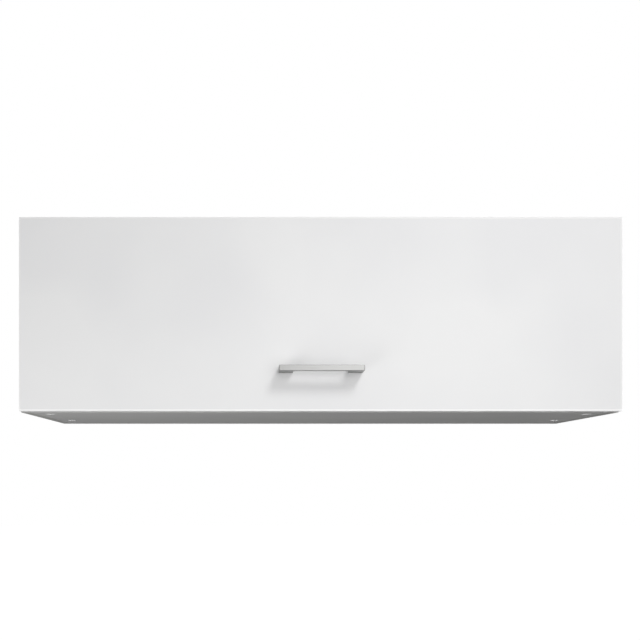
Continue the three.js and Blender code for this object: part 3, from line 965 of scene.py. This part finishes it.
@dataclass
class GasStrut:
    """One gas strut, drawn along the line from its upper ball to its lower one."""

    hand: str
    side: int
    upper_ball: Point = (470.0, -278.0, 37.0)
    lower_ball: Point = (470.0, -287.0, -93.0)
    tube_radius: float = 7.5
    tube_from: float = 12.0
    tube_to: float = 79.0
    # the tube's closed end: thickness and outer rounding
    tube_floor: float = 2.0
    # a groove rolled into the tube holds the rod's guide
    groove_from_end: float = 7.8
    groove_width: float = 2.4
    groove_floor: float = 0.8
    groove_depth: float = 0.7
    # the tube's open end is rolled over the seal
    end_roll: float = 1.8
    end_lip: float = 1.5
    lip_height: float = 0.8
    # the seal lies behind the rolled end's mouth and closes round the rod
    seal_grip: float = 0.2
    seal_reach: float = 1.4
    seal_back: float = 1.0
    seal_front: float = 0.3
    seal_tip: float = 0.1
    rod_radius: float = 3.0
    rod_clearance: float = 0.3
    rod_inside: float = 64.0
    rod_chamfer: float = 0.5
    # the rod is turned down where it enters the lower socket's neck
    rod_shoulder: float = 15.6
    shoulder_slope: float = 0.4
    rod_end: float = 8.0
    socket_radius: float = 6.5
    socket_half: float = 4.5
    socket_round: float = 1.2
    # the tube is wide, so the upper socket reaches further in than the lower, and less far out
    upper_inner_face: float = 5.5
    upper_outer_face: float = 3.0
    rim_chamfer: float = 0.7
    # the ball's pocket, with a shallow cone at its bottom
    pocket_radius: float = 4.5
    pocket_chamfer: float = 0.4
    pocket_floor: float = 1.6
    pocket_bottom: float = 1.2
    # the sockets' necks, as radius and distance from the ball
    upper_neck: tuple[Pair, ...] = (
        (0.0, 2.0), (4.7, 4.0), (5.0, 6.0), (5.0, 11.2), (4.4, 12.2), (0.0, 12.2))
    lower_neck: tuple[Pair, ...] = (
        (0.0, 3.0), (4.2, 4.2), (4.4, 6.0), (4.4, 13.8), (3.7, 15.0), (0.0, 15.0))
    # a wire clip lies in a groove that begins at this share of the socket's length
    clip_place: float = 0.45
    clip_width: float = 1.5
    clip_slope: float = 0.3
    clip_depth: float = 0.5
    clip_wire: float = 0.55
    clip_facets: int = 8
    bracket_arris: float = 0.3

    def build(self, nodes: Nodes) -> list[Piece]:
        """Dress the wall bracket and draw the strut's own pieces.

        Args:
            nodes: The frame's objects by name.

        Returns:
            The pieces.
        """
        mounting = [
            dress(nodes[f"strut_wall_{part}_{self.hand}"], ZINC_STEEL, self.bracket_arris)
            for part in ("bracket", "screw_lower", "screw_upper")]
        return [*mounting, *self.cylinder_pieces(), *self.rod_pieces()]

    def ball(self, place_mm: Point) -> Vector:
        """A ball's centre in metres, on this strut's side."""
        return Vector((self.side * place_mm[0], place_mm[1], place_mm[2])) * MM

    @property
    def top(self) -> Vector:
        """The upper ball's centre."""
        return self.ball(self.upper_ball)

    @property
    def foot(self) -> Vector:
        """The lower ball's centre."""
        return self.ball(self.lower_ball)

    @property
    def down(self) -> Vector:
        """The strut's direction, from its upper ball to its lower one."""
        return (self.foot - self.top).normalized()

    def spin(self, name: str, body: str, finish: Finish,
             parts: list[tuple[Profile, Vector, Vector]]) -> Piece:
        """Build one piece from spun profiles.

        Args:
            name: The piece's name, without its hand.
            body: The body it rides on, without its hand.
            finish: The piece's finish.
            parts: Profile in millimetres, start and axis of each spun part.

        Returns:
            The piece.
        """
        mesh = bmesh.new()
        for profile, start, axis in parts:
            lathe(mesh, [(r * MM, d * MM) for r, d in profile], start, axis)
        return new_piece(f"{name}_{self.hand}", mesh, finish, f"{body}_{self.hand}")

    def cylinder_pieces(self) -> list[Piece]:
        """Draw the enamelled tube, its seal and its ball socket.

        Returns:
            The pieces.
        """
        radius, start, end = self.tube_radius, self.tube_from, self.tube_to
        bore = self.rod_radius + self.rod_clearance
        floor, roll, lip = self.tube_floor, self.end_roll, self.end_lip
        groove = end - self.groove_from_end
        bottom = radius - self.groove_depth
        tube = [(0.0, start), (radius - floor, start),
                *rounded(radius - floor, start + floor, floor, -90, 0),
                (radius, groove - self.groove_width / 2),
                (bottom, groove - self.groove_floor / 2),
                (bottom, groove + self.groove_floor / 2),
                (radius, groove + self.groove_width / 2), (radius, end - roll),
                *rounded(radius - roll, end - roll, roll, 0, 90),
                (bore + roll, end), (bore + lip, end - self.lip_height),
                (bore, end - self.lip_height), (bore, start + floor), (0.0, start + floor)]
        tube_piece = self.spin("strut_tube", "strut_cylinder", GREY_ENAMEL,
                               [(tube, self.top, self.down)])
        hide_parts(f"strut_cylinder_{self.hand}")
        grip, reach = bore - self.seal_grip, bore + self.seal_reach
        seal = [(grip, end - self.seal_back), (reach, end - self.seal_back),
                (reach, end - self.seal_front), (grip, end - self.seal_tip),
                (grip, end - self.seal_back)]
        seal_piece = self.spin("strut_seal", "strut_cylinder", BLACK_NYLON,
                               [(seal, self.top, self.down)])
        sides = (-self.side * self.upper_inner_face, self.side * self.upper_outer_face)
        return [tube_piece, seal_piece,
                *self.socket("strut_upper_socket", "strut_cylinder", self.top, sides,
                             list(self.upper_neck), self.down)]

    def rod_pieces(self) -> list[Piece]:
        """Draw the chromed rod and its lower ball socket.

        Returns:
            The pieces.
        """
        length = (self.foot - self.top).length / MM
        start = self.tube_to - self.rod_inside
        radius, chamfer = self.rod_radius, self.rod_chamfer
        shoulder, end = length - self.rod_shoulder, length - self.rod_end
        rod = [(0.0, start), (radius - chamfer, start), (radius, start + chamfer),
               (radius, shoulder), (radius - chamfer, shoulder + self.shoulder_slope),
               (radius - chamfer, end), (0.0, end)]
        piece = self.spin("strut_piston_rod", "strut_rod", CHROMED_ROD,
                          [(rod, self.top, self.down)])
        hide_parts(f"strut_rod_{self.hand}")
        sides = (-self.side * self.socket_half, self.side * self.socket_half)
        return [piece, *self.socket("strut_lower_socket", "strut_rod", self.foot, sides,
                                    list(self.lower_neck), -self.down)]

    def socket(self, name: str, body: str, centre: Vector, sides: Pair,
               neck: Profile, neck_axis: Vector) -> list[Piece]:
        """Draw a nylon ball socket with its neck and its spring clip.

        Args:
            name: The piece's name, without its hand.
            body: The body it rides on, without its hand, and the frame's node that the socket
                stands for, which has the same name.
            centre: The ball's centre, where the neck's distances start.
            sides: X offsets of the socket's closed face, which looks into the cabinet, and of
                its open one.
            neck: The neck's profile.
            neck_axis: The neck's direction.

        Returns:
            The socket and its clip.
        """
        inner, outer = sides
        length = abs(outer - inner)
        radius, pocket, edge = self.socket_radius, self.pocket_radius, self.socket_round
        groove = length * self.clip_place
        bottom = radius - self.clip_depth
        barrel = [(0.0, 0.0), (radius - edge, 0.0), *rounded(radius - edge, edge, edge, -90, 0),
                  (radius, groove), (bottom, groove + self.clip_slope),
                  (bottom, groove + self.clip_width - self.clip_slope),
                  (radius, groove + self.clip_width),
                  (radius, length - self.rim_chamfer), (radius - self.rim_chamfer, length),
                  (pocket + self.pocket_chamfer, length), (pocket, length - self.pocket_chamfer),
                  (pocket, self.pocket_floor), (0.0, self.pocket_bottom)]
        axis = Vector((math.copysign(1.0, outer - inner), 0.0, 0.0))
        start = centre + Vector((inner * MM, 0.0, 0.0))
        piece = self.spin(name, body, BLACK_NYLON,
                          [(barrel, start, axis), (neck, centre, neck_axis)])
        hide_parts(f"{body}_{self.hand}")
        wire = self.clip_wire
        ring = arc((bottom + wire, groove + self.clip_width / 2), wire, 0, 360, self.clip_facets)
        return [piece, self.spin(f"{name}_clip", body, CHROMED_ROD, [(ring, start, axis)])]


# ------------------------------ studio


@dataclass(frozen=True)
class Softbox:
    """A square softbox that faces the cabinet; sizes are in metres."""

    name: str
    at: Point
    size: float
    watts: float


# The handle's shadow falls down and left, so the key hangs high on the right. A small box low on
# the left lights that end of the door and of the underside. The overhead box and the two at the
# sides hang behind the door's plane and leave its face alone.
SOFTBOXES = (
    Softbox("key_high_right", (0.95, -2.33, 1.62), 0.85, 28.0),
    Softbox("front_fill", (0.4, -1.8, -0.3), 1.4, 11.9),
    Softbox("low_left_fill", (-0.76, -0.88, -0.74), 0.5, 2.4),
    Softbox("overhead", (0.0, 0.9, 2.2), 1.6, 18.0),
    Softbox("right_side", (2.6, 0.7, 0.5), 1.2, 26.0),
    Softbox("left_side", (-2.6, 0.7, 0.5), 1.2, 22.0),
    Softbox("rear_rim", (-2.6, 2.6, 1.6), 1.2, 30.0),
)


@dataclass
class Studio:
    """Camera, lights, floor and white surroundings."""

    # the camera looks straight along +Y, square to the door; sizes are in metres
    camera_at: Point = (-0.0911, -1.703, -0.3628)
    sensor_mm: float = 36.0
    lens_mm: float = 47.09
    shift: Pair = (0.0853, 0.2441)
    clip: Pair = (0.05, 60.0)
    floor_z: float = -1.3
    floor_half: float = 14.0
    aim: Point = (0.0, -0.3, -0.1)
    lamps: tuple[Softbox, ...] = SOFTBOXES
    world_strength: float = 0.3
    floor_hex: str = "e4e4e4"
    # the cabinet hangs high, so the floor sends little light back to its underside
    return_hex: str = "3a3a3a"
    floor_glow: float = 1.2
    glow_share: float = 0.8

    def build(self) -> None:
        """Set up everything that isn't part of the cabinet."""
        self.camera()
        self.world()
        self.floor()
        for lamp in self.lamps:
            self.hang(lamp)
        bpy.context.scene.view_settings.view_transform = "Standard"

    def camera(self) -> None:
        """Put the camera at the photograph's place."""
        data = bpy.data.cameras.new("camera")
        data.sensor_width = self.sensor_mm
        data.lens = self.lens_mm
        data.shift_x, data.shift_y = self.shift
        data.clip_start, data.clip_end = self.clip
        camera = bpy.data.objects.new("camera", data)
        camera.location = self.camera_at
        camera.rotation_euler = (math.pi / 2, 0.0, 0.0)
        bpy.context.scene.collection.objects.link(camera)
        bpy.context.scene.camera = camera

    def seen(self, tree: Tree) -> Node:
        """Tell rays that see a surface directly, in a mirror or through glass from the rest.

        Args:
            tree: The node tree to add to.

        Returns:
            The node that is 1 for such rays and 0 for the rest.
        """
        path = add_node(tree, "ShaderNodeLightPath")
        direct = add_node(tree, "ShaderNodeMath", {
            0: path.outputs["Is Camera Ray"], 1: path.outputs["Is Glossy Ray"]},
            operation="MAXIMUM")
        return add_node(tree, "ShaderNodeMath", {
            0: direct, 1: path.outputs["Is Transmission Ray"]}, operation="MAXIMUM")

    def world(self) -> None:
        """White where the camera or a reflection sees it, and a soft grey light elsewhere."""
        world = bpy.data.worlds.new("white_studio")
        bpy.context.scene.world = world
        world.use_nodes = True
        tree = world.node_tree
        tree.nodes.clear()
        soft, white = (add_node(tree, "ShaderNodeBackground", {
            "Color": linear("ffffff"), "Strength": strength})
            for strength in (self.world_strength, 1.0))
        both = add_node(tree, "ShaderNodeMixShader", {
            0: self.seen(tree), 1: soft, 2: white})
        add_node(tree, "ShaderNodeOutputWorld", {"Surface": both})

    def floor(self) -> None:
        """A wide pale floor that shows white and keeps the cabinet's shadow."""
        mesh = bmesh.new()
        bmesh.ops.create_grid(mesh, x_segments=1, y_segments=1, size=self.floor_half)
        bmesh.ops.translate(mesh, verts=mesh.verts, vec=(0.0, 0.0, self.floor_z))
        data = bpy.data.meshes.new("studio_floor")
        mesh.to_mesh(data)
        mesh.free()
        floor = bpy.data.objects.new("studio_floor", data)
        bpy.context.scene.collection.objects.link(floor)
        made = bpy.data.materials.new("pale_floor")
        made.use_nodes = True
        tree = made.node_tree
        tree.nodes.clear()
        seen = self.seen(tree)
        # seen directly, the floor is pale and glows up to white, less what its shadow takes away
        tone = add_node(tree, "ShaderNodeMix", {
            0: seen, 6: linear(self.return_hex), 7: linear(self.floor_hex)}, data_type="RGBA")
        diffuse = add_node(tree, "ShaderNodeBsdfDiffuse", {"Color": tone})
        glow = add_node(tree, "ShaderNodeEmission", {
            "Color": linear("ffffff"), "Strength": self.floor_glow})
        share = add_node(tree, "ShaderNodeMath", {0: seen, 1: self.glow_share},
                         operation="MULTIPLY")
        both = add_node(tree, "ShaderNodeMixShader", {0: share, 1: diffuse, 2: glow})
        add_node(tree, "ShaderNodeOutputMaterial", {"Surface": both})
        floor.data.materials.append(made)

    def hang(self, box: Softbox) -> None:
        """Hang a softbox, turned towards the cabinet's middle.

        Args:
            box: The softbox.
        """
        data = bpy.data.lights.new(box.name, "AREA")
        data.shape = "SQUARE"
        data.size = box.size
        data.energy = box.watts
        lamp = bpy.data.objects.new(box.name, data)
        lamp.location = box.at
        facing = (Vector(self.aim) - Vector(box.at)).to_track_quat("-Z", "Y")
        lamp.rotation_euler = facing.to_euler()
        bpy.context.scene.collection.objects.link(lamp)


# ------------------------------ main


def note_sizes() -> None:
    """Update the view layer.
    """
    bpy.context.view_layer.update()


def main() -> None:
    """Build the cabinet's looks around the frame."""
    logging.basicConfig(level=logging.INFO, format="%(name)s: %(message)s")
    for old in list(bpy.data.objects):
        bpy.data.objects.remove(old)
    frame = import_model()
    struts = [GasStrut(hand, side) for hand, side in HANDS.items()]
    for section in (Carcass(), Door(), HingeMounts(), *struts):
        for piece in section.build(frame["nodes"]):
            LOG.info("%s: %s in %s", type(section).__name__, piece.name,
                     piece.data.materials[0].name)
    Studio().build()
    note_sizes()


if __name__ == "__main__":
    main()
